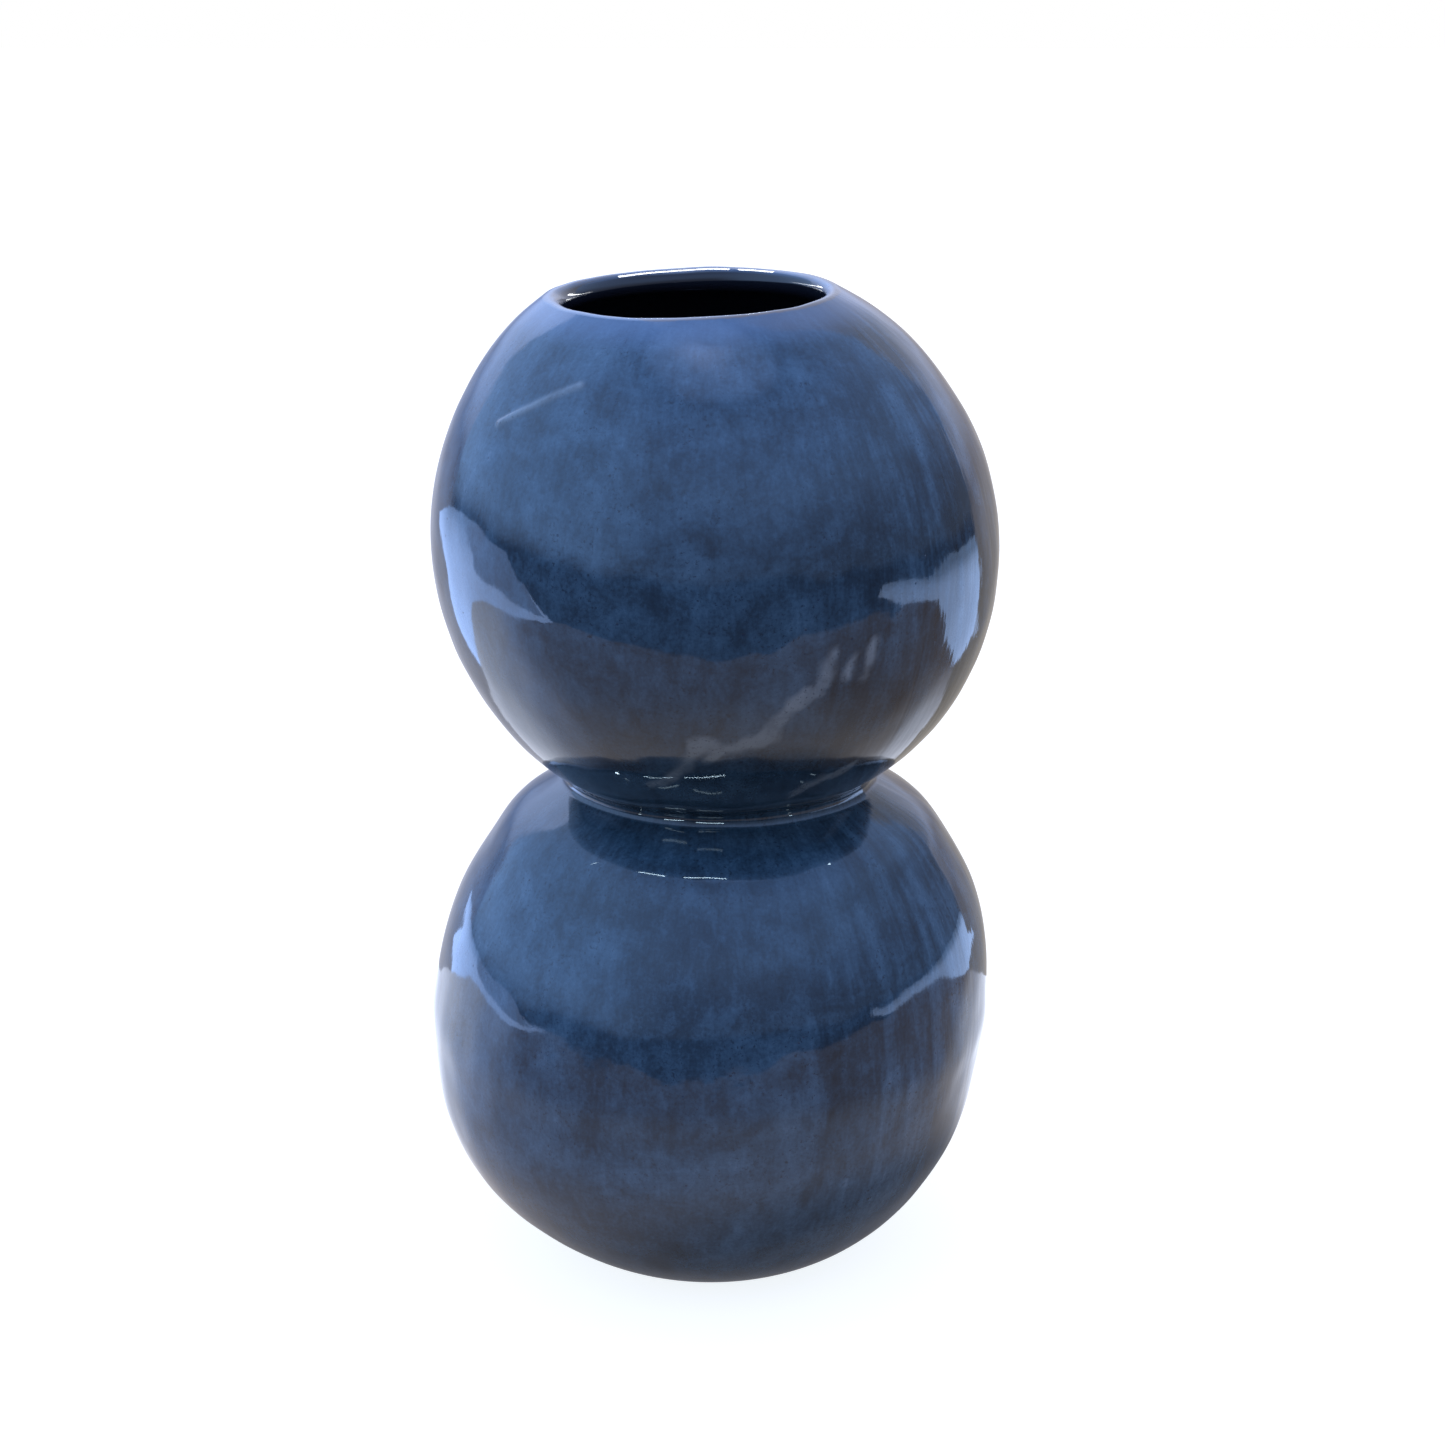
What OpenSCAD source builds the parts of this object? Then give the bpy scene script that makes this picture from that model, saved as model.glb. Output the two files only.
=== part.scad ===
// Double-gourd stoneware vase: two round bulbs joined at a narrow waist,
// a wide rolled mouth set slightly out of level, and an unglazed foot ring.
// Millimetres, +Z up, foot plane at z = 0, bulb axis on the Z axis.

/* [Bulbs] */
// Outside diameter of the upper bulb over the glaze
upper_d = 175.2; // [170:0.2:180]
// Outside diameter of the lower bulb over the glaze
lower_d = 176.6; // [172:0.2:182]
// Radius of the shoulder and hip curves of the lower bulb
lower_round = 76.5; // [72:0.5:80]
// Height of the upright band at the widest part of the lower bulb
lower_band = 20.4; // [12:0.2:28]

/* [Waist] */
// Diameter at which the two bulbs would cross without a fillet
waist_d = 91.8; // [88:0.2:98]
// Radius of the soft fillet in the waist crease
waist_fillet = 3; // [2:0.1:5]
// Half height of the luted collar that joins the bulbs
collar_half = 6; // [5:0.5:8]
// Radius of the rounded inner edge of the collar
throat_round = 4; // [3:0.1:5]

/* [Mouth] */
// Diameter of the mouth measured over the crest of the lip
mouth_d = 86; // [82:0.5:92]
// Thickness of the rolled clay lip
lip_roll = 6.2; // [5.8:0.1:7]
// Height of the lip coil measured down from the centre of its roll
lip_depth = 6; // [5:0.5:8]
// Tilt of the mouth, right side high
mouth_tilt = 1.4; // [0:0.1:4]

/* [Wall and glaze] */
// Thickness of the clay wall
wall = 5.4; // [4.8:0.1:6]
// Thickness of the glaze coats
glaze = 0.6; // [0.4:0.1:0.9]

/* [Foot] */
// Diameter of the flat underside of the floor
base_d = 73; // [70:0.5:80]
// Outside diameter of the foot ring
foot_d = 65; // [60:0.5:68]
// Width of the foot ring
foot_w = 7; // [5:0.5:9]
// Height of the foot ring under the floor
foot_h = 3; // [2:0.5:5]
// Thickness of the floor
floor_t = 6; // [5:0.5:8]
// Height above the underside of the floor at which the outer glaze stops
glaze_line = 2.2; // [1.5:0.1:3.5]

/* [Colours] */
// Bare fired stoneware
clay_color = "#b9a58c";
// Deep blue outer glaze
outer_color = "#3f5579";
// Darker liner glaze
inner_color = "#1c1e26";
// Thin glaze that breaks brown over the lip
lip_color = "#6a6472";

/* [Hidden] */
$fn = 128;

// Radii of the upper sphere and offsets of the lower bulb's corner curves
upper_r = upper_d / 2;
round_x = lower_d / 2 - lower_round;
round_z = lower_band / 2;
waist_r = waist_d / 2;

// Depths of the wall surfaces below the outside of the glaze
clay_out = glaze;
clay_in = glaze + wall;
liner_in = 2 * glaze + wall;

// Heights of the bulb centres, the waist and the inner floor
base_drop = sqrt(pow(lower_round - glaze, 2) - pow(base_d / 2 - round_x, 2));
lower_z = foot_h + round_z + base_drop;
waist_z = lower_z + round_z + sqrt(pow(lower_round, 2) - pow(waist_r - round_x, 2));
upper_z = waist_z + sqrt(pow(upper_r, 2) - pow(waist_r, 2));
floor_z = foot_h + floor_t;

// Centres of the corner curves and the lip roll, as [radius, height]
shoulder_c = [round_x, lower_z + round_z];
hip_c = [round_x, lower_z - round_z];
lip_r = lip_roll / 2;
lip_mid = upper_r - glaze - wall / 2;
lip_c = [mouth_d / 2, sqrt(pow(lip_mid, 2) - pow(mouth_d / 2, 2))];
lip_base = lip_c[1] - lip_depth;

// Outer crossing point of two circles in the radius-height plane
function crossing(c1, r1, c2, r2) =
    let (d = norm(c2 - c1), u = (c2 - c1) / d)
    let (a = (d * d + r1 * r1 - r2 * r2) / (2 * d))
    let (h = sqrt(r1 * r1 - a * a))
    c1 + a * u + h * [-u[1], u[0]];

// Centres of the waist fillet outside the wall and of the rounded edge inside it
fillet_c = crossing(
    [0, upper_z], upper_r + waist_fillet,
    shoulder_c, lower_round + waist_fillet
);
throat_c = crossing(
    [0, upper_z], upper_r - clay_in + throat_round,
    shoulder_c, lower_round - clay_in + throat_round
);

// ---- outlines in the radius-height plane ----

// Keeps the part of an outline right of the axis and between two heights
module between(z0, z1) {
    intersection() {
        children();
        translate([0, z0]) square([200, z1 - z0]);
    }
}

// Disc of the upper bulb at a depth below the glaze surface
module upper_disc(depth) {
    translate([0, upper_z]) circle(r = upper_r - depth);
}

// Rounded outline of the lower bulb at a depth below the glaze surface
module lower_disc(depth) {
    r = lower_round - depth;
    translate(shoulder_c) circle(r = r);
    translate(hip_c) circle(r = r);
    translate([0, hip_c[1]]) square([round_x + r, lower_band]);
    translate([0, hip_c[1] - r]) square([round_x, lower_band + 2 * r]);
}

// Area between the two bulb outlines and a circle of radius r at c that touches both
module web(c, r, inner_x) {
    up = [0, upper_z] - c;
    down = shoulder_c - c;
    difference() {
        polygon([
            c,
            c + up * (r + 1) / norm(up),
            [inner_x, waist_z],
            c + down * (r + 1) / norm(down)
        ]);
        translate(c) circle(r = r);
    }
}

// Full outside outline of the vase at a depth below the glaze surface
module outside(depth) {
    upper_disc(depth);
    lower_disc(depth);
    web(fillet_c, waist_fillet + depth, waist_r - 8);
}

// Outline of the hollow, a skin thickness inside the clay
module hollow(skin) {
    between(floor_z + skin, upper_z + 100) {
        upper_disc(clay_in + skin);
        lower_disc(clay_in + skin);
        web(throat_c, throat_round + skin, 0);
    }
}

// Clay wall between the outer glaze and the liner
module clay_wall() {
    difference() {
        outside(clay_out);
        hollow(0);
    }
}

// Rolled lip with the wall under it, drawn about the centre of the upper bulb
module lip_outline(from_depth, to_depth, roll_r) {
    foot = lip_c * lip_base / lip_c[1];
    intersection() {
        difference() {
            circle(r = upper_r - from_depth);
            circle(r = upper_r - to_depth);
        }
        polygon([foot, lip_c, lip_c * 1.2, [120, lip_c[1] * 1.2], [120, lip_base]]);
    }
    translate(lip_c) circle(r = roll_r);
}

// ---- placement of the tilted mouth ----

// Moves from the centre of the upper bulb with the mouth tilt
module at_mouth() {
    translate([0, 0, upper_z]) rotate([0, -mouth_tilt, 0]) children();
}

// Space over the joint between the upper bulb and the lip
module above_lip_base() {
    at_mouth() translate([0, 0, lip_base]) cylinder(r = 90, h = 60);
}

// ---- pieces ----

module floor_slab() {
    color(clay_color)
        rotate_extrude() between(foot_h, floor_z) outside(clay_out);
}

module foot_ring() {
    color(clay_color) difference() {
        cylinder(d = foot_d, h = foot_h);
        translate([0, 0, -1]) cylinder(d = foot_d - 2 * foot_w, h = foot_h + 2);
    }
}

module lower_bulb() {
    color(clay_color)
        rotate_extrude() between(floor_z, waist_z - collar_half) clay_wall();
}

module waist_collar() {
    color(clay_color)
        rotate_extrude() between(waist_z - collar_half, waist_z + collar_half) clay_wall();
}

module upper_bulb() {
    color(clay_color) difference() {
        rotate_extrude() between(waist_z + collar_half, upper_z + 100) clay_wall();
        above_lip_base();
    }
}

module mouth_lip() {
    color(clay_color) at_mouth() rotate_extrude() lip_outline(clay_out, clay_in, lip_r);
}

module lip_glaze() {
    color(lip_color) at_mouth() rotate_extrude() difference() {
        lip_outline(0, liner_in, lip_r + glaze);
        lip_outline(clay_out, clay_in, lip_r);
    }
}

module outer_glaze() {
    color(outer_color) difference() {
        rotate_extrude() difference() {
            between(foot_h + glaze_line, upper_z + 100) outside(0);
            outside(clay_out);
        }
        above_lip_base();
    }
}

module inner_glaze() {
    color(inner_color) difference() {
        rotate_extrude() difference() {
            hollow(0);
            hollow(glaze);
        }
        above_lip_base();
    }
}

floor_slab();
foot_ring();
lower_bulb();
waist_collar();
upper_bulb();
mouth_lip();
lip_glaze();
outer_glaze();
inner_glaze();
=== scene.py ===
"""Double-gourd stoneware vase: glaze skins, clay pieces, materials, floor, light and camera.

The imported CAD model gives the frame. The foot ring and the floor stay as CAD nodes. The bulbs,
collar, lip and glaze coats are remade as smooth closed meshes on the same outline, then settled:
the bulbs lean a little, the wall wavers slightly and the glaze carries a shallow scar.
"""

import math

import bpy
import numpy as np
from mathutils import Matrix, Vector


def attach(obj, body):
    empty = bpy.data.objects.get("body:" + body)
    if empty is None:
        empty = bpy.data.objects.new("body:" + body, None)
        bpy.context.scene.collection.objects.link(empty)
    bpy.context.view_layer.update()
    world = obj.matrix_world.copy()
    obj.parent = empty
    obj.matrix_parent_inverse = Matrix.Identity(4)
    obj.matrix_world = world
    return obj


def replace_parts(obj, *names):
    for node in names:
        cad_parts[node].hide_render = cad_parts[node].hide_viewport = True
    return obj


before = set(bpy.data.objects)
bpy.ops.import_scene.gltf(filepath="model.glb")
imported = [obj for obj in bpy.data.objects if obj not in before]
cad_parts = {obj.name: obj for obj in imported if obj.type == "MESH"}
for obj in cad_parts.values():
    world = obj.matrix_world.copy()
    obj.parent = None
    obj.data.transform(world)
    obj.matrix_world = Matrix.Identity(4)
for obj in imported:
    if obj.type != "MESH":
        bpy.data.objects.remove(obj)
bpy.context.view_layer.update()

MM = 0.001

# ---- sizes of the outline, in mm, as in the CAD source ----

UPPER_R = 87.6
LOWER_R = 88.3
ROUND_R = 76.5
BAND = 20.4
WAIST_R = 45.9
FILLET_R = 3.0
THROAT_R = 4.0
COLLAR_HALF = 6.0
MOUTH_R = 43.0
LIP_R = 3.1
LIP_DEPTH = 6.0
MOUTH_TILT = math.radians(1.4)
WALL = 5.4
GLAZE = 0.6
BASE_R = 36.5
FOOT_H = 3.0
FLOOR_T = 6.0
GLAZE_LINE = 2.2

ROUND_X = LOWER_R - ROUND_R
HALF_BAND = BAND / 2
LOWER_Z = FOOT_H + HALF_BAND + math.sqrt((ROUND_R - GLAZE) ** 2 - (BASE_R - ROUND_X) ** 2)
WAIST_Z = LOWER_Z + HALF_BAND + math.sqrt(ROUND_R**2 - (WAIST_R - ROUND_X) ** 2)
UPPER_Z = WAIST_Z + math.sqrt(UPPER_R**2 - WAIST_R**2)
FLOOR_Z = FOOT_H + FLOOR_T
LIP_MID = UPPER_R - GLAZE - WALL / 2
LIP_Z = UPPER_Z + math.sqrt(LIP_MID**2 - MOUTH_R**2)
LIP_PROUD = LIP_MID + LIP_R + GLAZE - UPPER_R

SHOULDER = (ROUND_X, LOWER_Z + HALF_BAND)
HIP = (ROUND_X, LOWER_Z - HALF_BAND)
UPPER = (0.0, UPPER_Z)
LIP = (MOUTH_R, LIP_Z)


# ---- outline ----


def ramp(x, lo, hi):
    t = np.clip((x - lo) / (hi - lo), 0, 1)
    return t * t * (3 - 2 * t)


def crossing(c1, r1, c2, r2):
    """Outer crossing point of two circles in the radius-height plane."""
    d = math.dist(c1, c2)
    ux, uz = (c2[0] - c1[0]) / d, (c2[1] - c1[1]) / d
    a = (d * d + r1 * r1 - r2 * r2) / (2 * d)
    h = math.sqrt(r1 * r1 - a * a)
    return (c1[0] + a * ux - h * uz, c1[1] + a * uz + h * ux)


FILLET = crossing(UPPER, UPPER_R + FILLET_R, SHOULDER, ROUND_R + FILLET_R)
THROAT = crossing(UPPER, UPPER_R - GLAZE - WALL + THROAT_R, SHOULDER, ROUND_R - GLAZE - WALL + THROAT_R)


def angle_to(c, p):
    return math.atan2(p[1] - c[1], p[0] - c[0])


def arc(c, r, a0, a1):
    """Points on an arc, about 0.25 mm apart."""
    n = max(8, int(abs(a1 - a0) * r / 0.25))
    return [(c[0] + r * math.cos(a), c[1] + r * math.sin(a)) for a in np.linspace(a0, a1, n)]


def outside_line():
    """The glaze surface from the glaze line at the foot up to the lip roll."""
    start = math.asin((FOOT_H + GLAZE_LINE - HIP[1]) / ROUND_R)
    line = arc(HIP, ROUND_R, start, 0.0)
    line += arc(SHOULDER, ROUND_R, 0.0, angle_to(SHOULDER, FILLET))
    line += arc(FILLET, FILLET_R, angle_to(FILLET, SHOULDER) + 2 * math.pi, angle_to(FILLET, UPPER))
    top = angle_to(UPPER, LIP)
    line += arc(UPPER, UPPER_R, angle_to(UPPER, FILLET), top - 0.30)
    for a in np.linspace(top - 0.297, top - 0.02, 90):
        r = UPPER_R + LIP_PROUD * ramp(a, top - 0.30, top)
        line.append((r * math.cos(a), UPPER_Z + r * math.sin(a)))
    return line


def lip_line():
    """Over the crest of the lip, from outside to inside."""
    out = angle_to(UPPER, LIP)
    return arc(LIP, LIP_R + GLAZE, out, out + math.pi + 0.45)


def inside_line():
    """The liner from the lip down through the throat to the middle of the floor."""
    r_up = UPPER_R - 2 * GLAZE - WALL
    r_low = ROUND_R - 2 * GLAZE - WALL
    floor = FLOOR_Z + GLAZE
    line = arc(UPPER, r_up, angle_to(UPPER, LIP) - 0.03, angle_to(UPPER, THROAT))
    line += arc(THROAT, THROAT_R + GLAZE, angle_to(THROAT, UPPER), angle_to(THROAT, SHOULDER) + 2 * math.pi)
    line += arc(SHOULDER, r_low, angle_to(SHOULDER, THROAT), 0.0)
    line += arc(HIP, r_low, 0.0, -math.asin((HIP[1] - floor) / r_low))
    r_end = line[-1][0]
    line += [(r, floor) for r in np.linspace(r_end, 1.0, 60)[1:]]
    return line


def even(line, step_at):
    """Resample a line so that its spacing follows step_at(r, z), softening small kinks."""
    p = np.array(line)
    seg = np.hypot(*np.diff(p, axis=0).T)
    s = np.concatenate([[0], np.cumsum(seg)])
    fine = np.arange(0, s[-1], 0.1)
    q = np.stack([np.interp(fine, s, p[:, k]) for k in (0, 1)], 1)
    kernel = np.hanning(17)
    kernel /= kernel.sum()
    padded = np.pad(q, ((8, 8), (0, 0)), mode="edge")
    soft = np.stack([np.convolve(padded[:, k], kernel, "valid") for k in (0, 1)], 1)
    soft[:8], soft[-8:] = q[:8], q[-8:]
    density = np.array([1.0 / step_at(r, z) for r, z in soft])
    count = np.concatenate([[0], np.cumsum(0.1 * (density[1:] + density[:-1]) / 2)])
    rows = np.linspace(0, count[-1], int(round(count[-1])) + 1)
    return np.stack([np.interp(rows, count, soft[:, k]) for k in (0, 1)], 1)


# ---- settling: lean, tilt, waver and the scar ----

# Sideways drift of the axis, as (height, shift) in mm
LEAN = [
    (0, 0), (9, 0), (34, -1.9), (85, 0), (150, 2.9), (172, 3.1),
    (212, 2.6), (245, 1.3), (280, -0.3), (304, -2.0), (318, -4.4),
]

# How much the lip stands above its level, on the axis and per mm towards the back
LIP_LIFT = 0.5
LIP_LIFT_SLOPE = 0.021

# Course, height and half width of the glaze scar on the upper bulb, in mm
SCAR_LINE = [(-57.6, -45.2, 284.9), (-47.01, -49.92, 290.01), (-32.6, -54.5, 297.2)]
SCAR_HEIGHT = 0.42
SCAR_WIDTH = 1.3

# Pale slip runs under the glaze on the upper bulb, as (degrees round, height, half width) in mm
SLIP_RUNS = [
    [(-18, 181, 1.2), (-11, 185, 2.0), (-7, 192, 2.4), (-3.5, 198, 3.2), (-1.5, 197, 2.0)],
    [(-3, 192, 1.5), (2, 196, 2.2), (6, 198, 2.5), (11, 201, 3.2), (12.5, 205, 2.2)],
    [(11, 203, 2.0), (14, 210, 2.2), (17.5, 213, 2.5), (20.5, 213, 1.4)],
    [(21, 216, 1.8), (21.5, 222, 2.0), (22.5, 226, 1.2)],
    [(25.5, 217, 1.2), (26, 222, 1.8), (27.5, 225, 1.0)],
    [(29.5, 218, 1.2), (30, 224, 1.8), (31, 228, 1.0)],
    [(20, 173, 1.5), (24, 178, 2.4), (30, 182, 2.0), (37, 187, 1.2)],
]


def smooth_curve(points, x):
    """A smooth line through a few (x, y) points, with flat or averaged slopes."""
    px, py = np.array(points, float).T
    slope = np.gradient(py, px)
    k = np.clip(np.searchsorted(px, x) - 1, 0, len(px) - 2)
    h = px[k + 1] - px[k]
    t = np.clip((x - px[k]) / h, 0, 1)
    a, b = py[k], py[k + 1]
    return (
        a * (1 + 2 * t) * (1 - t) ** 2
        + b * t * t * (3 - 2 * t)
        + h * (slope[k] * t * (1 - t) ** 2 - slope[k + 1] * t * t * (1 - t))
    )


def waves(points, size, seed, count=28):
    """Soft random field of about unit strength, with features of one size in mm."""
    rng = np.random.default_rng(seed)
    total = np.zeros(points.shape[:-1])
    for _ in range(count):
        d = rng.normal(size=3)
        d *= rng.uniform(0.6, 1.4) * 2 * math.pi / size / np.linalg.norm(d)
        total += np.cos(points @ d + rng.uniform(0, 2 * math.pi))
    return total * math.sqrt(2 / count)


def bend(points):
    """Tilt the mouth and lean the bulbs. Points are an array (..., 3) in mm."""
    p = points.copy()
    a = MOUTH_TILT * ramp(points[..., 2] - UPPER_Z, -10, 62)
    x, z = p[..., 0].copy(), p[..., 2] - UPPER_Z
    p[..., 0] = x * np.cos(a) - z * np.sin(a)
    p[..., 2] = UPPER_Z + x * np.sin(a) + z * np.cos(a)
    p[..., 2] += ramp(z, 45, 72) * (LIP_LIFT + LIP_LIFT_SLOPE * p[..., 1])
    p[..., 0] += smooth_curve(LEAN, p[..., 2])
    return p


def wall_waver(points):
    """How far the thrown wall strays from its outline along the normal, in mm."""
    z = points[..., 2]
    broad = 0.32 * waves(points, 95, 3) + 0.08 * waves(points, 34, 5)
    full_shoulder = 1.6 * np.exp(-(((z - 150) / 7.5) ** 2))
    full_top = 0.4 * ramp(z, 284, 300) * (1 - ramp(z, 306, 314))
    full_belly = 1.35 * np.exp(-(((z - LOWER_Z - 1) / 10.5) ** 2))
    return ramp(z, 9, 30) * (broad + full_shoulder + full_belly + full_top)


def glaze_waver(points):
    """Unevenness of the glaze over the wall, in mm."""
    return ramp(points[..., 2], 9, 30) * 0.035 * np.clip(waves(points, 15, 7, 40), -3, 3)


def segment_distance(points, a, b):
    """Distance to a segment, and how far along it the nearest point is."""
    a, b = np.array(a), np.array(b)
    ab = b - a
    t = np.clip(((points - a) @ ab) / max(ab @ ab, 1e-9), 0, 1)
    near = a + t[..., None] * ab
    return np.linalg.norm(points - near, axis=-1), t


def on_bulb(point):
    """The nearest place on the upper bulb."""
    centre = np.array([0.0, 0.0, UPPER_Z])
    out = point - centre
    return centre + out * UPPER_R / np.linalg.norm(out)


def path_distance(points, path):
    """Distance to a path of straight pieces."""
    return np.min([segment_distance(points, p, q)[0] for p, q in zip(path, path[1:])], axis=0)


def scar(points):
    """One low, smooth ridge left by a drip that was wiped before firing."""
    line = [on_bulb(np.array(p)) for p in SCAR_LINE]
    return SCAR_HEIGHT * np.exp(-((path_distance(points, line) / SCAR_WIDTH) ** 2))


def slip_mask(points):
    """Where the pale slip runs lie, 0 to 1."""
    wobble = 0.7 * waves(points, 7, 23)
    best = np.full(points.shape[:-1], -9.0)
    for run in SLIP_RUNS:
        spots = []
        for deg, z, half in run:
            r = math.sqrt(UPPER_R**2 - (z - UPPER_Z) ** 2)
            spots.append((r * math.sin(math.radians(deg)), -r * math.cos(math.radians(deg)), z, half))
        for p, q in zip(spots, spots[1:]):
            d, t = segment_distance(points, p[:3], q[:3])
            best = np.maximum(best, p[3] + t * (q[3] - p[3]) + wobble - d)
    return ramp(best, -1.0, 1.2)


# ---- meshes ----

# Steps of the rings and columns, finer round the scar
COLUMN_STEP = 1.0
SCAR_STEP = 0.36


def columns():
    """Angles round the vase from the back seam, finer where the scar is."""
    deg = np.arange(-180, 180, 0.1)
    near = ramp(deg, -62, -54) * (1 - ramp(deg, -31, -23))
    step = COLUMN_STEP * (1 - near) + SCAR_STEP * near
    count = np.concatenate([[0], np.cumsum(0.1 / step)])
    total = int(round(count[-1]))
    return np.radians(np.interp(np.arange(total) * count[-1] / total, count, np.append(deg, 180)))


def outside_step(r, z):
    near = ramp(np.array(z), 274, 281) * (1 - ramp(np.array(z), 302, 308)) * (r > 30)
    tight = math.hypot(r - FILLET[0], z - FILLET[1]) < FILLET_R + 1.5
    return 0.4 if tight else 1.35 * (1 - float(near)) + 0.4 * float(near)


PHI = columns()


def sweep(rows):
    """Turn (radius, height) rows into points (rows, columns, 3); angle 0 faces -Y."""
    r, z = rows[:, 0][:, None], rows[:, 1][:, None]
    return np.stack([r * np.sin(PHI), -r * np.cos(PHI), z + 0 * PHI[None]], -1)


def grid_normals(p):
    """Outward normals of a grid of points that is closed along its columns."""
    down = np.gradient(p, axis=0)
    around = (np.roll(p, -1, 1) - np.roll(p, 1, 1)) / 2
    n = np.cross(around, down)
    return n / np.linalg.norm(n, axis=-1, keepdims=True)


def build_skin():
    """The whole glaze surface as one grid, with its normals and the back against the clay."""
    out = even(outside_line(), outside_step)
    lip = even(lip_line(), lambda r, z: 0.4)
    inside = even(inside_line(), lambda r, z: 2.2 if z < THROAT[1] + 8 else 1.5)
    raw = sweep(np.concatenate([out, lip, inside]))
    flat = grid_normals(raw)
    wall = wall_waver(raw)
    relief = glaze_waver(raw)
    relief[: len(out)] += scar(raw[: len(out)])
    inner_side = np.zeros(len(raw))
    inner_side[len(out) + len(lip) :] = 1
    blend = ramp(np.convolve(np.pad(inner_side, 12, mode="edge"), np.ones(25) / 25, "valid"), 0, 1)
    wall *= (1 - blend)[:, None]
    # Rows just past the lip crest turn near-black: a darker liner glaze and partly painted shade inside the
    # mouth.
    past_crest = np.clip(np.arange(len(raw)) - len(out) - len(lip) * 0.24, 0, 5) / 5
    front = bend(raw + flat * (wall + relief)[..., None])
    back = bend(raw + flat * (wall - GLAZE)[..., None])
    return {
        "front": front,
        "back": back,
        "normal": grid_normals(front),
        "slip": np.maximum(slip_mask(raw), np.clip(scar(raw) * 1.6, 0, 1)),
        "dark": np.repeat(past_crest[:, None], len(PHI), 1),
        "lip": len(out),
        "inside": len(out) + len(lip),
        "rows": np.concatenate([out, lip, inside]),
    }


def ring_faces(n_rows, n_cols, start, closed=False):
    """Quads between neighbouring rings whose vertices start at an index."""
    i = np.arange(n_rows if closed else n_rows - 1)[:, None]
    j = np.arange(n_cols)[None]
    a = start + (i % n_rows) * n_cols + j
    b = start + (i % n_rows) * n_cols + (j + 1) % n_cols
    c = start + ((i + 1) % n_rows) * n_cols + (j + 1) % n_cols
    d = start + ((i + 1) % n_rows) * n_cols + j
    return np.stack([a, b, c, d], -1).reshape(-1, 4)


def add_piece(name, verts, quads, tris, material):
    """Make a smooth mesh object that rides on the vase."""
    mesh = bpy.data.meshes.new(name)
    faces = quads.tolist() + tris.tolist()
    mesh.from_pydata((verts * MM).tolist(), [], faces)
    mesh.polygons.foreach_set("use_smooth", [True] * len(mesh.polygons))
    mesh.validate()
    mesh.update()
    obj = bpy.data.objects.new(name, mesh)
    bpy.context.scene.collection.objects.link(obj)
    mesh.materials.append(material)
    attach(obj, "root")
    return obj


def set_normals(obj, normals):
    """Give every corner its vertex's normal, so that neighbouring coats shade as one skin."""
    index = np.empty(len(obj.data.loops), dtype=np.int32)
    obj.data.loops.foreach_get("vertex_index", index)
    obj.data.normals_split_custom_set(normals[index].tolist())


def set_mask(obj, name, values):
    layer = obj.data.attributes.new(name, "FLOAT", "POINT")
    layer.data.foreach_set("value", values.astype(np.float32))


def coat(name, skin, first, last, material, nodes, pole=False):
    """A closed glaze coat over some rows of the skin: front, back and the rim between them."""
    cols = len(PHI)
    rows = last - first
    front, back = skin["front"][first:last], skin["back"][first:last]
    normal = skin["normal"][first:last]
    verts = np.concatenate([front.reshape(-1, 3), back[::-1].reshape(-1, 3)])
    normals = np.concatenate([normal.reshape(-1, 3), -normal[::-1].reshape(-1, 3)])
    no_mask = np.zeros(rows * cols)
    masks = {k: np.concatenate([skin[k][first:last].reshape(-1), no_mask]) for k in ("slip", "dark")}
    tris = np.zeros((0, 3), dtype=int)
    if pole:
        quads = np.concatenate([ring_faces(rows, cols, 0), ring_faces(rows, cols, rows * cols)])
        top, low = front[-1].mean(0), back[-1].mean(0)
        verts = np.concatenate([verts, [top, low]])
        normals = np.concatenate([normals, [[0, 0, 1], [0, 0, -1]]])
        masks = {k: np.append(v, [0, 0]) for k, v in masks.items()}
        a, b = (rows - 1) * cols, rows * cols
        j = np.arange(cols)
        k = (j + 1) % cols
        f, g = 2 * rows * cols, 2 * rows * cols + 1
        tris = np.concatenate([
            np.stack([a + j, a + k, f + 0 * j], -1),
            np.stack([b + k, b + j, g + 0 * j], -1),
        ])
        last_ring = (2 * rows - 1) * cols
        rim = np.stack([last_ring + j, last_ring + k, k, j], -1)
        quads = np.concatenate([quads, rim])
    else:
        quads = ring_faces(2 * rows, cols, 0, closed=True)
    obj = add_piece(name, verts, quads, tris, material)
    set_normals(obj, normals)
    for key, values in masks.items():
        set_mask(obj, key, values)
    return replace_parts(obj, *nodes)


def clay(name, skin, outer, inner, material, thin=4):
    """A closed clay piece between rows of the outer and inner backs, coarser because it is covered."""
    o = np.unique(np.append(np.arange(outer[0], outer[1], thin), outer[1] - 1))
    i = np.unique(np.append(np.arange(inner[0], inner[1], thin), inner[1] - 1))
    ring = np.concatenate([skin["back"][o], skin["back"][i]])[:, ::2]
    verts = ring.reshape(-1, 3)
    quads = ring_faces(len(ring), ring.shape[1], 0, closed=True)
    obj = add_piece(name, verts, quads, np.zeros((0, 3), dtype=int), material)
    obj.data.set_sharp_from_angle(angle=math.radians(40))
    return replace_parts(obj, name.removesuffix("_body"))


# ---- node helpers ----


def new_tree(name):
    mat = bpy.data.materials.new(name)
    mat.use_nodes = True
    tree = mat.node_tree
    tree.nodes.clear()
    return mat, tree


def put(tree, kind, inputs=(), **settings):
    """Add a node, set its properties, then link or set its inputs by name or number."""
    node = tree.nodes.new(kind)
    for key, value in settings.items():
        setattr(node, key, value)
    for key, value in dict(inputs).items():
        if isinstance(value, bpy.types.NodeSocket):
            tree.links.new(value, node.inputs[key])
        else:
            node.inputs[key].default_value = value
    return node


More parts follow.
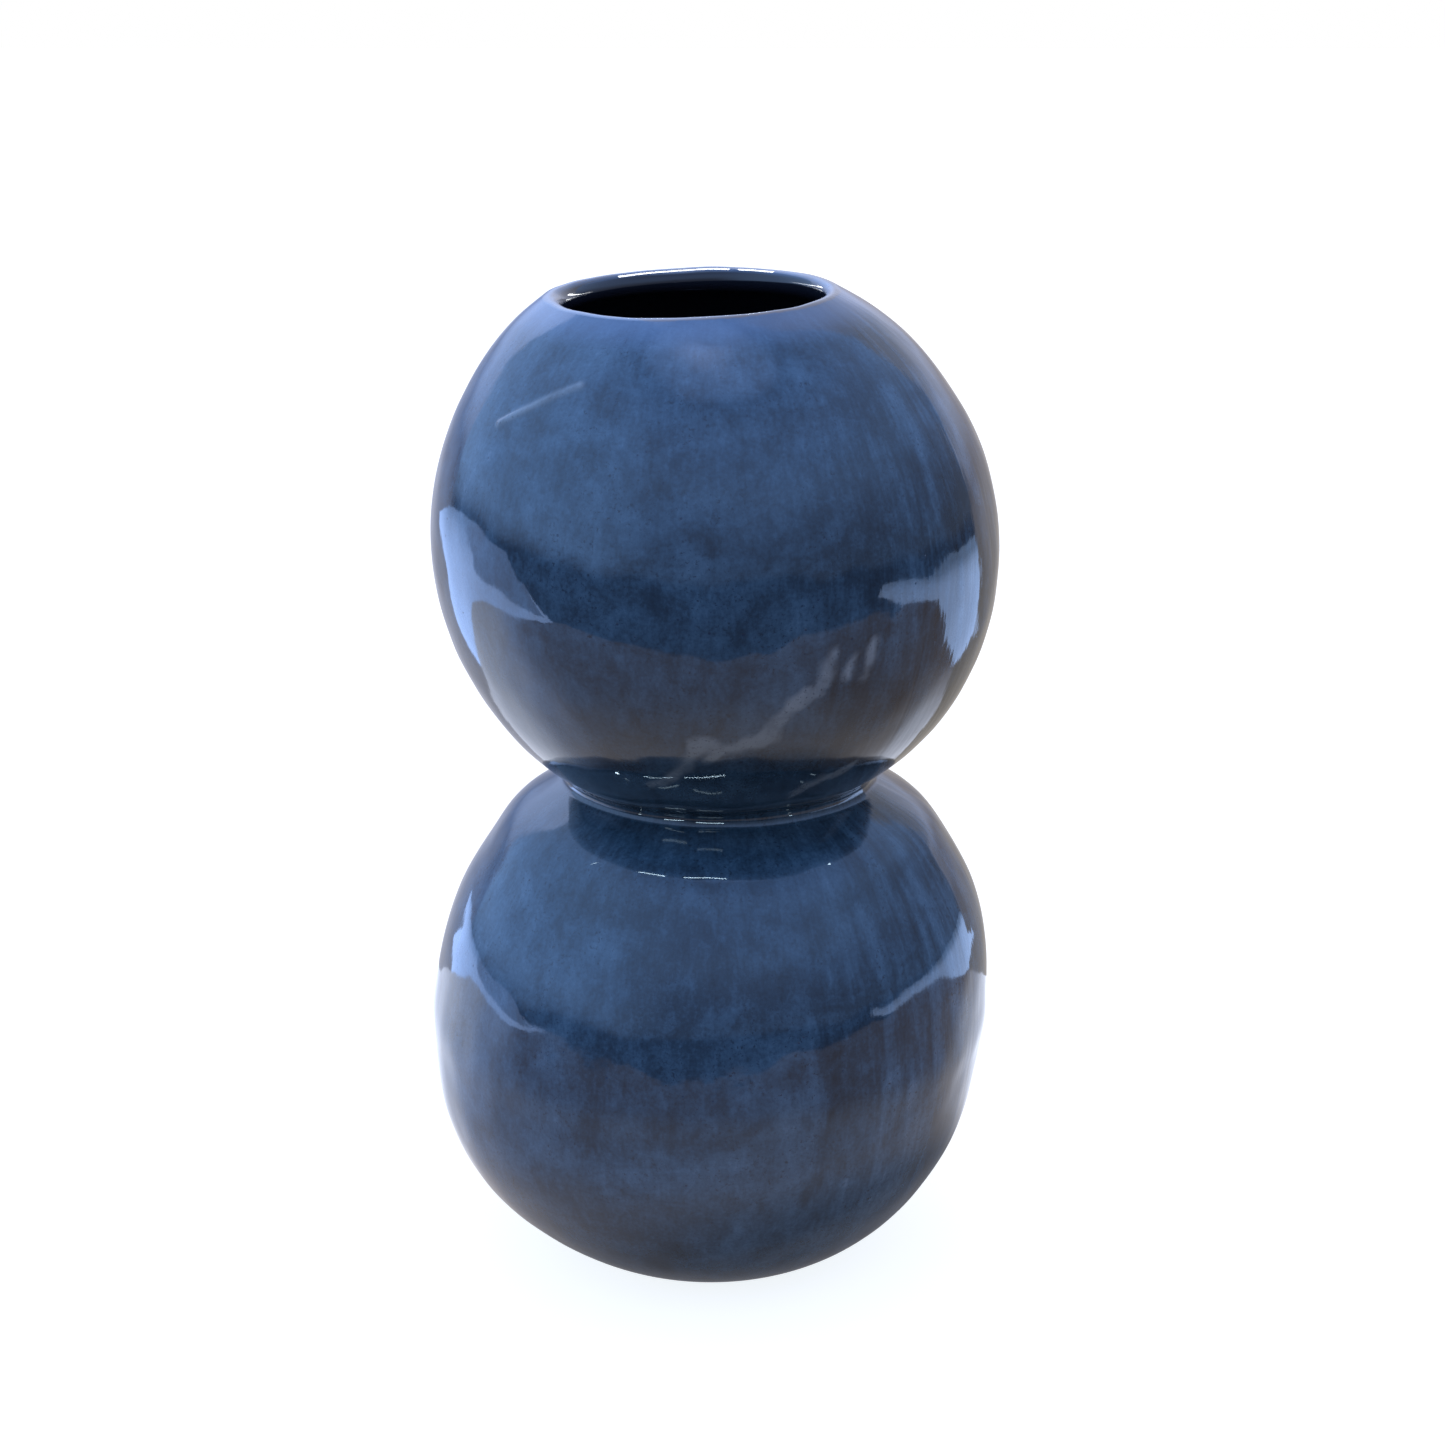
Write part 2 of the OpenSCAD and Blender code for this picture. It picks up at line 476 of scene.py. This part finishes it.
def calc(tree, op, a, b=0.0):
    return put(tree, "ShaderNodeMath", {0: a, 1: b}, operation=op).outputs[0]


def fit(tree, x, lo, hi, out_lo=0.0, out_hi=1.0):
    """Smooth step of x from lo to hi."""
    span = {0: x, 1: lo, 2: hi, 3: out_lo, 4: out_hi}
    return put(tree, "ShaderNodeMapRange", span, interpolation_type="SMOOTHSTEP").outputs[0]


def mix(tree, factor, a, b, blend="MIX"):
    node = put(tree, "ShaderNodeMix", data_type="RGBA", blend_type=blend)
    for key, value in ((0, factor), (6, a), (7, b)):
        if isinstance(value, bpy.types.NodeSocket):
            tree.links.new(value, node.inputs[key])
        else:
            node.inputs[key].default_value = value if key == 0 else (*value, 1.0)[:4]
    return node.outputs[2]


def noise(tree, vector, scale, detail=4.0, rough=0.55, warp=0.0):
    return put(
        tree,
        "ShaderNodeTexNoise",
        {"Vector": vector, "Scale": scale, "Detail": detail, "Roughness": rough, "Distortion": warp},
    ).outputs["Fac"]


def colours(tree, x, stops):
    node = put(tree, "ShaderNodeValToRGB", {0: x})
    ramp_ = node.color_ramp
    while len(ramp_.elements) < len(stops):
        ramp_.elements.new(0.5)
    for element, (at, rgb) in zip(ramp_.elements, stops):
        element.position = at
        element.color = (*rgb, 1.0)
    return node.outputs["Color"]


def millimetres(tree):
    """Row-frame position in mm, and its three parts."""
    where = put(tree, "ShaderNodeTexCoord").outputs["Object"]
    mm = put(tree, "ShaderNodeVectorMath", {0: where, 1: (1000, 1000, 1000)}, operation="MULTIPLY").outputs[0]
    parts = put(tree, "ShaderNodeSeparateXYZ", {0: mm}).outputs
    return mm, parts[0], parts[1], parts[2]


def meridian(tree, mm, x, y, z, squash):
    """Coordinates in which noise runs in streaks down the bulbs."""
    r = calc(tree, "SQRT", calc(tree, "ADD", calc(tree, "MULTIPLY", x, x), calc(tree, "MULTIPLY", y, y)))
    r = calc(tree, "MAXIMUM", r, 2.0)
    cx = calc(tree, "MULTIPLY", calc(tree, "DIVIDE", x, r), 88.0)
    cy = calc(tree, "MULTIPLY", calc(tree, "DIVIDE", y, r), 88.0)
    return put(tree, "ShaderNodeCombineXYZ", {0: cx, 1: cy, 2: calc(tree, "MULTIPLY", z, squash)}).outputs[0]


# ---- materials ----


def specks(tree, mm, scale, size, keep):
    """Small round spots: 1 inside a spot. keep is the share of cells that hold one."""
    cell = put(tree, "ShaderNodeTexVoronoi", {"Vector": mm, "Scale": scale}, feature="F1")
    chance = put(tree, "ShaderNodeSeparateColor", {0: cell.outputs["Color"]}).outputs
    radius = calc(tree, "MULTIPLY", calc(tree, "ADD", chance[1], 0.4), size * scale)
    spot = fit(tree, calc(tree, "DIVIDE", cell.outputs["Distance"], radius), 1.0, 0.35)
    return calc(tree, "MULTIPLY", spot, calc(tree, "LESS_THAN", chance[0], keep))


def blue_glaze():
    """Glossy reactive blue: clouds, drips down the meridians, pinholes, slip runs, lip break; painted shade
    over the waist crease, on the right side above the waist and past the lip crest.
    """
    mat, tree = new_tree("blue_glaze")
    mm, x, y, z = millimetres(tree)
    run = meridian(tree, mm, x, y, z, 0.10)
    clouds = noise(tree, mm, 0.021, 6, 0.62, 1.2)
    mottle = noise(tree, mm, 0.10, 5, 0.6, 0.6)
    fleck = noise(tree, meridian(tree, mm, x, y, z, 0.35), 0.42, 4, 0.65)
    grain = noise(tree, mm, 0.9, 3, 0.6)
    drips = noise(tree, run, 0.16, 4, 0.6, 0.3)
    side = fit(tree, x, 15, 66, 0.22, 1.35)
    v = calc(tree, "ADD", 0.5, calc(tree, "MULTIPLY", calc(tree, "SUBTRACT", clouds, 0.5), 0.85))
    v = calc(tree, "ADD", v, calc(tree, "MULTIPLY", calc(tree, "SUBTRACT", mottle, 0.5), 0.62))
    streak = calc(tree, "MULTIPLY", calc(tree, "SUBTRACT", drips, 0.5), side)
    v = calc(tree, "ADD", v, calc(tree, "MULTIPLY", streak, 0.95))
    v = calc(tree, "ADD", v, calc(tree, "MULTIPLY", calc(tree, "SUBTRACT", fleck, 0.5), 0.34))
    v = calc(tree, "ADD", v, calc(tree, "MULTIPLY", calc(tree, "SUBTRACT", grain, 0.5), 0.40))
    # Painted shade: the right side of the upper bulb just above the waist is made darker.
    right_side_shade = calc(tree, "MULTIPLY", fit(tree, x, 5, 62), fit(tree, z, 168, 196))
    v = calc(tree, "SUBTRACT", v, calc(tree, "MULTIPLY", right_side_shade, 0.12))
    base = colours(tree, v, [
        (0.16, (0.012, 0.022, 0.034)),
        (0.38, (0.023, 0.045, 0.068)),
        (0.54, (0.038, 0.075, 0.112)),
        (0.72, (0.060, 0.112, 0.162)),
        (0.95, (0.120, 0.175, 0.235)),
    ])
    slip = put(tree, "ShaderNodeAttribute", attribute_name="slip").outputs["Fac"]
    slip_soft = calc(tree, "MULTIPLY", slip, fit(tree, mottle, 0.30, 0.60, 0.45, 0.85))
    base = mix(tree, slip_soft, base, (0.26, 0.285, 0.30))
    pepper = fit(tree, noise(tree, mm, 0.80, 3, 0.7), 0.57, 0.66)
    gather = fit(tree, noise(tree, mm, 0.055, 4, 0.6), 0.40, 0.60, 0.20, 0.90)
    base = mix(tree, calc(tree, "MULTIPLY", pepper, gather), base, (0.016, 0.030, 0.046))
    # Painted shade: within 18 to 56 mm of the waist crease the glaze is darkened to about half, mostly above
    # the crease.
    crease = calc(tree, "ABSOLUTE", calc(tree, "SUBTRACT", z, WAIST_Z + 4.0))
    painted_crease_shade = mix(tree, 1.0, base, (0.50, 0.52, 0.50), "MULTIPLY")
    above = fit(tree, z, WAIST_Z - 16, WAIST_Z + 2, 0.15, 1.0)
    crease_shade_share = calc(tree, "MULTIPLY", fit(tree, crease, 56, 18), above)
    base = mix(tree, crease_shade_share, base, painted_crease_shade)
    holes = specks(tree, mm, 0.23, 0.42, 0.55)
    dots = specks(tree, mm, 0.55, 0.22, 0.5)
    spots = calc(tree, "MAXIMUM", calc(tree, "MULTIPLY", holes, 0.7), calc(tree, "MULTIPLY", dots, 0.45))
    base = mix(tree, spots, base, (0.010, 0.020, 0.045))
    crest = lip_height(tree, x, y, z)
    pale = fit(tree, crest, -9, -1.2)
    base = mix(tree, calc(tree, "MULTIPLY", pale, 0.55), base, (0.120, 0.180, 0.280))
    thin = calc(tree, "ADD", crest, calc(tree, "MULTIPLY", calc(tree, "SUBTRACT", mottle, 0.5), 1.6))
    base = mix(tree, fit(tree, thin, -0.55, -0.10, 0.0, 0.7), base, (0.170, 0.115, 0.090))
    # Past the lip crest the glaze turns near-black: a darker liner glaze and partly painted shade inside the
    # mouth.
    dark = put(tree, "ShaderNodeAttribute", attribute_name="dark").outputs["Fac"]
    base = mix(tree, dark, base, (0.010, 0.011, 0.016))
    wear = noise(tree, mm, 0.05, 3, 0.5)
    rough = fit(tree, wear, 0.3, 0.7, 0.045, 0.085)
    rough = calc(tree, "ADD", rough, calc(tree, "MULTIPLY", spots, 0.25))
    peel = noise(tree, mm, 0.16, 2, 0.4)
    height = calc(tree, "ADD", calc(tree, "MULTIPLY", peel, 0.10), calc(tree, "MULTIPLY", grain, 0.006))
    height = calc(tree, "ADD", height, calc(tree, "MULTIPLY", streak, 0.16))
    height = calc(tree, "SUBTRACT", height, calc(tree, "MULTIPLY", holes, 0.05))
    bump = put(tree, "ShaderNodeBump", {"Strength": 0.5, "Distance": MM, "Height": height})
    shader = put(tree, "ShaderNodeBsdfPrincipled", {
        "Base Color": base, "Roughness": rough, "IOR": 1.5, "Normal": bump.outputs[0],
    })
    finish_material(tree, shader)
    return mat


def lip_height(tree, x, y, z):
    """Height over the crest of the settled, tilted lip, in mm, from the row-frame position."""
    tilted = calc(tree, "MULTIPLY", calc(tree, "SUBTRACT", x, LEAN[-1][1]), -math.sin(MOUTH_TILT))
    settled = calc(tree, "MULTIPLY", y, -LIP_LIFT_SLOPE)
    over = calc(tree, "ADD", z, calc(tree, "ADD", tilted, settled))
    crest = UPPER_Z + (LIP_Z - UPPER_Z) * math.cos(MOUTH_TILT) + LIP_R + GLAZE + LIP_LIFT
    return calc(tree, "SUBTRACT", over, crest)


def liner_glaze():
    """Smoother glaze inside, near-black: a darker glaze and partly painted shade of the mouth's hollow."""
    mat, tree = new_tree("liner_glaze")
    mm, x, y, z = millimetres(tree)
    clouds = noise(tree, mm, 0.03, 5, 0.6, 0.8)
    run = noise(tree, meridian(tree, mm, x, y, z, 0.12), 0.12, 3, 0.5)
    v = calc(tree, "ADD", calc(tree, "MULTIPLY", clouds, 0.6), calc(tree, "MULTIPLY", run, 0.4))
    # Near-black tones: a darker liner glaze and partly painted shade inside the mouth.
    base = colours(tree, v, [
        (0.30, (0.008, 0.009, 0.012)),
        (0.55, (0.012, 0.014, 0.020)),
        (0.80, (0.018, 0.022, 0.034)),
    ])
    dots = specks(tree, mm, 0.35, 0.3, 0.4)
    base = mix(tree, calc(tree, "MULTIPLY", dots, 0.6), base, (0.008, 0.012, 0.025))
    rough = fit(tree, clouds, 0.3, 0.7, 0.07, 0.14)
    bump = put(tree, "ShaderNodeBump", {
        "Strength": 0.5, "Distance": MM, "Height": calc(tree, "MULTIPLY", noise(tree, mm, 0.14, 2), 0.12),
    })
    shader = put(tree, "ShaderNodeBsdfPrincipled", {
        "Base Color": base, "Roughness": rough, "IOR": 1.5, "Normal": bump.outputs[0],
    })
    finish_material(tree, shader)
    return mat


def bare_clay():
    """Unglazed fired stoneware: buff, speckled with iron, gritty."""
    mat, tree = new_tree("bare_clay")
    mm, x, y, z = millimetres(tree)
    tone = noise(tree, mm, 0.06, 5, 0.6, 0.5)
    base = colours(tree, tone, [
        (0.30, (0.30, 0.215, 0.150)),
        (0.52, (0.43, 0.325, 0.235)),
        (0.75, (0.55, 0.440, 0.330)),
    ])
    iron = specks(tree, mm, 0.45, 0.35, 0.45)
    base = mix(tree, calc(tree, "MULTIPLY", iron, 0.75), base, (0.09, 0.05, 0.03))
    grit = noise(tree, mm, 1.3, 4, 0.7)
    rings = noise(tree, put(tree, "ShaderNodeCombineXYZ", {
        0: calc(tree, "SQRT", calc(tree, "ADD", calc(tree, "MULTIPLY", x, x), calc(tree, "MULTIPLY", y, y))),
        1: 0.0, 2: z,
    }).outputs[0], 0.9, 2, 0.5)
    height = calc(tree, "ADD", calc(tree, "MULTIPLY", grit, 0.16), calc(tree, "MULTIPLY", rings, 0.10))
    bump = put(tree, "ShaderNodeBump", {"Strength": 0.8, "Distance": MM, "Height": height})
    rough = fit(tree, grit, 0.3, 0.7, 0.78, 0.92)
    shader = put(tree, "ShaderNodeBsdfPrincipled", {
        "Base Color": base, "Roughness": rough, "IOR": 1.45, "Normal": bump.outputs[0],
    })
    finish_material(tree, shader)
    return mat


def finish_material(tree, shader):
    out = put(tree, "ShaderNodeOutputMaterial")
    tree.links.new(shader.outputs[0], out.inputs["Surface"])


# ---- stage, light and camera ----

# Outline of the pale sheet round the vase as the glaze mirrors it, in metres
SHEET = [
    (-0.32, 0.25), (-0.60, 0.24), (-0.64, 0.10), (-0.57, -0.08), (-0.53, -0.26),
    (-0.38, -0.41), (-0.22, -0.47), (-0.02, -0.44), (0.10, -0.45), (0.30, -0.50),
    (0.62, -0.42), (0.86, -0.18), (0.82, 0.09), (0.54, 0.12), (0.35, 0.19),
]

# Window light on the ground beyond the sheet, on the left
LEFT_POOL = [
    (-0.32, 0.25), (-0.43, 0.42), (-0.62, 0.58), (-1.00, 1.24), (-2.30, 1.60),
    (-3.00, 1.10), (-2.30, -0.10), (-0.95, -0.20), (-0.52, -0.26), (-0.50, 0.20),
]

# Dimmer patch inside the left pool
LEFT_SHADE = [
    (-0.95, 0.32), (-1.30, 0.50), (-1.90, 0.85), (-3.00, 1.10), (-2.30, -0.10),
    (-0.95, -0.20), (-0.60, -0.22), (-0.68, -0.10), (-0.80, 0.07),
]

# Window light on the ground beyond the sheet, on the right
RIGHT_POOL = [
    (0.35, 0.19), (0.43, 0.35), (0.60, 0.44), (1.10, 0.83), (2.20, 1.60),
    (2.60, 0.60), (1.70, 0.00), (1.46, -0.60), (0.95, -0.42), (0.80, 0.00),
]

# Depths of the panels under the foot plane, in metres, so that none of them lie in one plane
SHADE_DROP = 0.002
POOL_DROP = 0.003

# Small sparkles that gather in front of the waist, as (name, end, end, half height) in mm
GLINTS = [
    ("glint_a", (-25.5, -61.2, 162.2), (-15.6, -64.8, 159.8), 0.6),
    ("glint_b", (-10.0, -66.8, 163.4), (5.8, -68.6, 165.0), 0.6),
    ("glint_c", (-38.4, -52.6, 155.8), (-36.6, -52.8, 156.6), 0.7),
    ("glint_d", (38.6, -54.6, 157.6), (39.8, -53.8, 158.8), 0.6),
]


def floor_material():
    """Plain pale floor, lifted towards white where it is seen directly."""
    mat, tree = new_tree("pale_floor")
    diffuse = put(tree, "ShaderNodeBsdfDiffuse", {"Color": (0.52, 0.38, 0.29, 1), "Roughness": 0.6})
    seen = put(tree, "ShaderNodeLightPath").outputs["Is Camera Ray"]
    strength = calc(tree, "MULTIPLY", seen, 0.88)
    lift = put(tree, "ShaderNodeEmission", {"Color": (0.92, 0.97, 1, 1), "Strength": strength})
    both = put(tree, "ShaderNodeAddShader", {0: diffuse.outputs[0], 1: lift.outputs[0]})
    finish_material(tree, both)
    return mat


def glow_material(name, rgb, strength):
    mat, tree = new_tree(name)
    finish_material(tree, put(tree, "ShaderNodeEmission", {"Color": (*rgb, 1), "Strength": strength}))
    return mat


def sheet_glow():
    """Light off the sheet: bluish on the window side, white behind the vase, grey-brown in front, with a
    painted shadow of the vase round its foot.
    """
    mat, tree = new_tree("sheet_glow")
    place = put(tree, "ShaderNodeTexCoord").outputs["Object"]
    parts = put(tree, "ShaderNodeSeparateXYZ", {0: place}).outputs
    x, y = parts[0], parts[1]
    window_side = calc(tree, "MULTIPLY", fit(tree, x, -0.06, -0.30), fit(tree, y, -0.16, 0.05))
    behind = calc(tree, "MULTIPLY", fit(tree, y, -0.02, 0.13), fit(tree, x, 0.40, 0.20))
    out = put(tree, "ShaderNodeVectorMath", {0: place}, operation="LENGTH").outputs["Value"]
    front = mix(tree, fit(tree, out, 0.12, 0.30), (0.78, 0.72, 0.72), (0.50, 0.42, 0.38))
    glow = mix(tree, window_side, front, (1.25, 1.50, 2.20))
    glow = mix(tree, calc(tree, "MULTIPLY", behind, 0.85), glow, (1.60, 1.72, 2.05))
    # Painted shadow of the vase on the sheet, centred 30 mm right of the axis.
    under = put(tree, "ShaderNodeVectorMath", {0: place, 1: (0.030, 0.0, 0.0)}, operation="DISTANCE")
    glow = mix(tree, fit(tree, under.outputs["Value"], 0.135, 0.07), glow, (0.20, 0.20, 0.22))
    finish_material(tree, put(tree, "ShaderNodeEmission", {"Color": glow, "Strength": 1.0}))
    return mat


def pool_glow(name, near, far, reach):
    """Window light on the ground, fading with the distance from the vase."""
    mat, tree = new_tree(name)
    place = put(tree, "ShaderNodeTexCoord").outputs["Object"]
    away = put(tree, "ShaderNodeVectorMath", {0: place}, operation="LENGTH").outputs["Value"]
    glow = mix(tree, fit(tree, away, reach[0], reach[1]), near, far)
    finish_material(tree, put(tree, "ShaderNodeEmission", {"Color": glow, "Strength": 1.0}))
    return mat


def panel(name, corners, material):
    """A flat stage panel."""
    mesh = bpy.data.meshes.new(name)
    mesh.from_pydata(corners, [], [tuple(range(len(corners)))])
    mesh.materials.append(material)
    obj = bpy.data.objects.new(name, mesh)
    bpy.context.scene.collection.objects.link(obj)
    return obj


def mirrored_only(obj):
    """Keep a stage panel out of sight: it shows only as a reflection in the glaze."""
    obj.visible_camera = False
    obj.visible_shadow = False
    obj.visible_diffuse = False
    obj.visible_transmission = False
    return obj


def dash(name, start, end, material):
    """A mirrored strip just over the back of the lip, between two angles from straight behind."""
    crest = LIP_Z + LIP_R + GLAZE + LIP_LIFT + LIP_LIFT_SLOPE * MOUTH_R
    corners = []
    for radius, angles in ((MOUTH_R - 0.5, (start, end)), (MOUTH_R + 2.5, (end, start))):
        for a in np.linspace(*np.radians(angles), 6):
            x, y = radius * math.sin(a), radius * math.cos(a)
            corners.append((MM * (x + LEAN[-1][1]), MM * y, MM * (crest + 6 + x * math.sin(MOUTH_TILT))))
    mirrored_only(panel(name, corners, material))


def build_stage():
    ground = [(-4.0, -0.42, 0), (4.0, -0.42, 0), (4.0, 6.0, 0), (-4.0, 6.0, 0)]
    floor = panel("floor", ground, floor_material())
    floor.visible_glossy = False
    mirrored_only(panel("mirrored_sheet", [(x, y, 0.0) for x, y in SHEET], sheet_glow()))
    left = pool_glow("left_pool_glow", (1.9, 2.7, 4.7), (0.9, 1.35, 2.4), (0.8, 2.4))
    right = pool_glow("right_pool_glow", (1.7, 2.35, 3.8), (0.7, 1.0, 1.6), (0.9, 1.9))
    mirrored_only(panel("left_pool", [(x, y, -POOL_DROP) for x, y in LEFT_POOL], left))
    mirrored_only(panel("right_pool", [(x, y, -POOL_DROP) for x, y in RIGHT_POOL], right))
    shade = glow_material("left_shade_glow", (0.80, 1.12, 1.95), 1.0)
    mirrored_only(panel("left_shade", [(x, y, -SHADE_DROP) for x, y in LEFT_SHADE], shade))
    lamp = glow_material("lamp_glow", (0.95, 0.98, 1.0), 26.0)
    dash("lip_dash_a", -30, 12, lamp)
    dash("lip_dash_b", 15, 29, lamp)
    glint = glow_material("glint_glow", (0.62, 0.84, 1.0), 30.0)
    for name, p, q, half in GLINTS:
        rise = (0, 0, half)
        corners = [np.subtract(p, rise), np.subtract(q, rise), np.add(q, rise), np.add(p, rise)]
        mirrored_only(panel(name, [tuple(MM * corner) for corner in corners], glint))


def build_world():
    """Soft room: dark towards the camera, blue overhead and left, a grey backdrop behind the vase."""
    world = bpy.data.worlds.new("soft_room")
    bpy.context.scene.world = world
    world.use_nodes = True
    tree = world.node_tree
    tree.nodes.clear()
    way = put(tree, "ShaderNodeTexCoord").outputs["Generated"]
    parts = put(tree, "ShaderNodeSeparateXYZ", {0: way}).outputs
    x, y, z = parts[0], parts[1], parts[2]
    dome = colours(tree, calc(tree, "MAXIMUM", z, 0.0), [
        (0.0, (0.28, 0.33, 0.44)),
        (0.16, (0.32, 0.38, 0.54)),
        (0.32, (0.44, 0.58, 0.92)),
        (0.53, (0.64, 0.94, 1.60)),
        (0.76, (0.62, 0.92, 1.65)),
        (0.93, (0.45, 0.66, 1.20)),
        (0.985, (1.00, 1.50, 2.80)),
        (1.0, (2.00, 2.90, 5.40)),
    ])
    dome = mix(tree, fit(tree, z, -0.01, -0.08), dome, (0.10, 0.10, 0.12))
    window_side = calc(tree, "MULTIPLY", fit(tree, x, -0.20, -0.90), fit(tree, z, -0.10, 0.12))
    dome = mix(tree, window_side, dome, (0.85, 1.35, 2.35))
    az = calc(tree, "DEGREES", calc(tree, "ARCTAN2", x, calc(tree, "MULTIPLY", y, -1.0)))
    lean = calc(tree, "MULTIPLY", calc(tree, "MAXIMUM", z, 0.0), 21.0)
    right = fit(tree, calc(tree, "SUBTRACT", az, lean), 127, 130)
    left = fit(tree, calc(tree, "ADD", az, lean), -127, -130)
    back_left = colours(tree, fit(tree, z, -0.40, 0.60), [
        (0.0, (0.70, 0.72, 0.85)),
        (0.42, (0.40, 0.49, 0.80)),
        (0.60, (0.95, 1.20, 1.90)),
        (1.0, (1.55, 2.05, 3.30)),
    ])
    back_right = colours(tree, fit(tree, z, -0.40, 0.60), [
        (0.0, (0.56, 0.52, 0.48)),
        (0.35, (0.56, 0.53, 0.58)),
        (0.55, (0.98, 1.06, 1.38)),
        (1.0, (0.70, 0.76, 0.92)),
    ])
    back = mix(tree, fit(tree, x, -0.10, 0.10), back_left, back_right)
    behind = calc(tree, "MULTIPLY", calc(tree, "MAXIMUM", left, right), fit(tree, z, 0.96, 0.80))
    light = mix(tree, behind, dome, back)
    seen = put(tree, "ShaderNodeLightPath").outputs["Is Camera Ray"]
    light = mix(tree, seen, light, (1.0, 1.0, 1.0))
    background = put(tree, "ShaderNodeBackground", {"Color": light, "Strength": 1.0})
    out = put(tree, "ShaderNodeOutputWorld")
    tree.links.new(background.outputs[0], out.inputs["Surface"])


def build_camera():
    """The photographer's place: in front, a little above the mouth, looking down at the waist."""
    cam = bpy.data.cameras.new("camera")
    cam.sensor_width = 36.0
    cam.lens = 65.09
    cam.dof.use_dof = False
    cam.clip_start = 0.01
    obj = bpy.data.objects.new("camera", cam)
    bpy.context.scene.collection.objects.link(obj)
    pitch, yaw = 0.3163, -0.0037
    ahead = Vector((math.sin(yaw) * math.cos(pitch), math.cos(yaw) * math.cos(pitch), -math.sin(pitch)))
    obj.location = (0.00663, -0.783, 0.43543)
    obj.rotation_euler = ahead.to_track_quat("-Z", "Y").to_euler()
    bpy.context.scene.camera = obj


def set_colour():
    view = bpy.context.scene.view_settings
    view.view_transform = "Standard"
    view.look = "None"
    view.exposure = 0.0
    view.gamma = 1.0


# ---- put it together ----


def build_vase():
    skin = build_skin()
    glaze, liner, body = blue_glaze(), liner_glaze(), bare_clay()
    lip_rows = skin["rows"][: skin["lip"], :]
    base_z = math.sqrt(LIP_MID**2 - MOUTH_R**2) - LIP_DEPTH
    low = int(np.argmin(np.abs(lip_rows[:, 1] - UPPER_Z - base_z) + 99 * (lip_rows[:, 1] < UPPER_Z)))
    rows = skin["rows"]
    inside = skin["inside"]
    high = inside + int(np.argmax(rows[inside:, 1] - UPPER_Z < base_z))
    end = len(rows)
    coat("outer_glaze_coat", skin, 0, low + 1, glaze, ["outer_glaze"])
    coat("lip_glaze_coat", skin, low, high + 1, glaze, ["lip_glaze"])
    coat("inner_glaze_coat", skin, high, end, liner, ["inner_glaze"], pole=True)

    def outer_row(z):
        return int(np.argmin(np.abs(rows[: skin["lip"], 1] - z)))

    def inner_row(z):
        return inside + int(np.argmin(np.abs(rows[inside:, 1] - z)))

    floor_in = inside + int(np.argmax(rows[inside:, 1] < FLOOR_Z + GLAZE + 0.02))
    waist_lo, waist_hi = WAIST_Z - COLLAR_HALF, WAIST_Z + COLLAR_HALF
    clay("lower_bulb_body", skin, (outer_row(FLOOR_Z), outer_row(waist_lo) + 1),
         (inner_row(waist_lo), floor_in + 1), body)
    clay("waist_collar_body", skin, (outer_row(waist_lo), outer_row(waist_hi) + 1),
         (inner_row(waist_hi), inner_row(waist_lo) + 1), body)
    clay("upper_bulb_body", skin, (outer_row(waist_hi), low + 1), (high, inner_row(waist_hi) + 1), body)
    clay("mouth_lip_body", skin, (low, skin["lip"]), (skin["lip"], high + 1), body, thin=2)
    for node in ("foot_ring", "floor_slab"):
        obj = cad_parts[node]
        obj.data.materials.clear()
        obj.data.materials.append(body)


build_vase()
build_stage()
build_world()
build_camera()
set_colour()
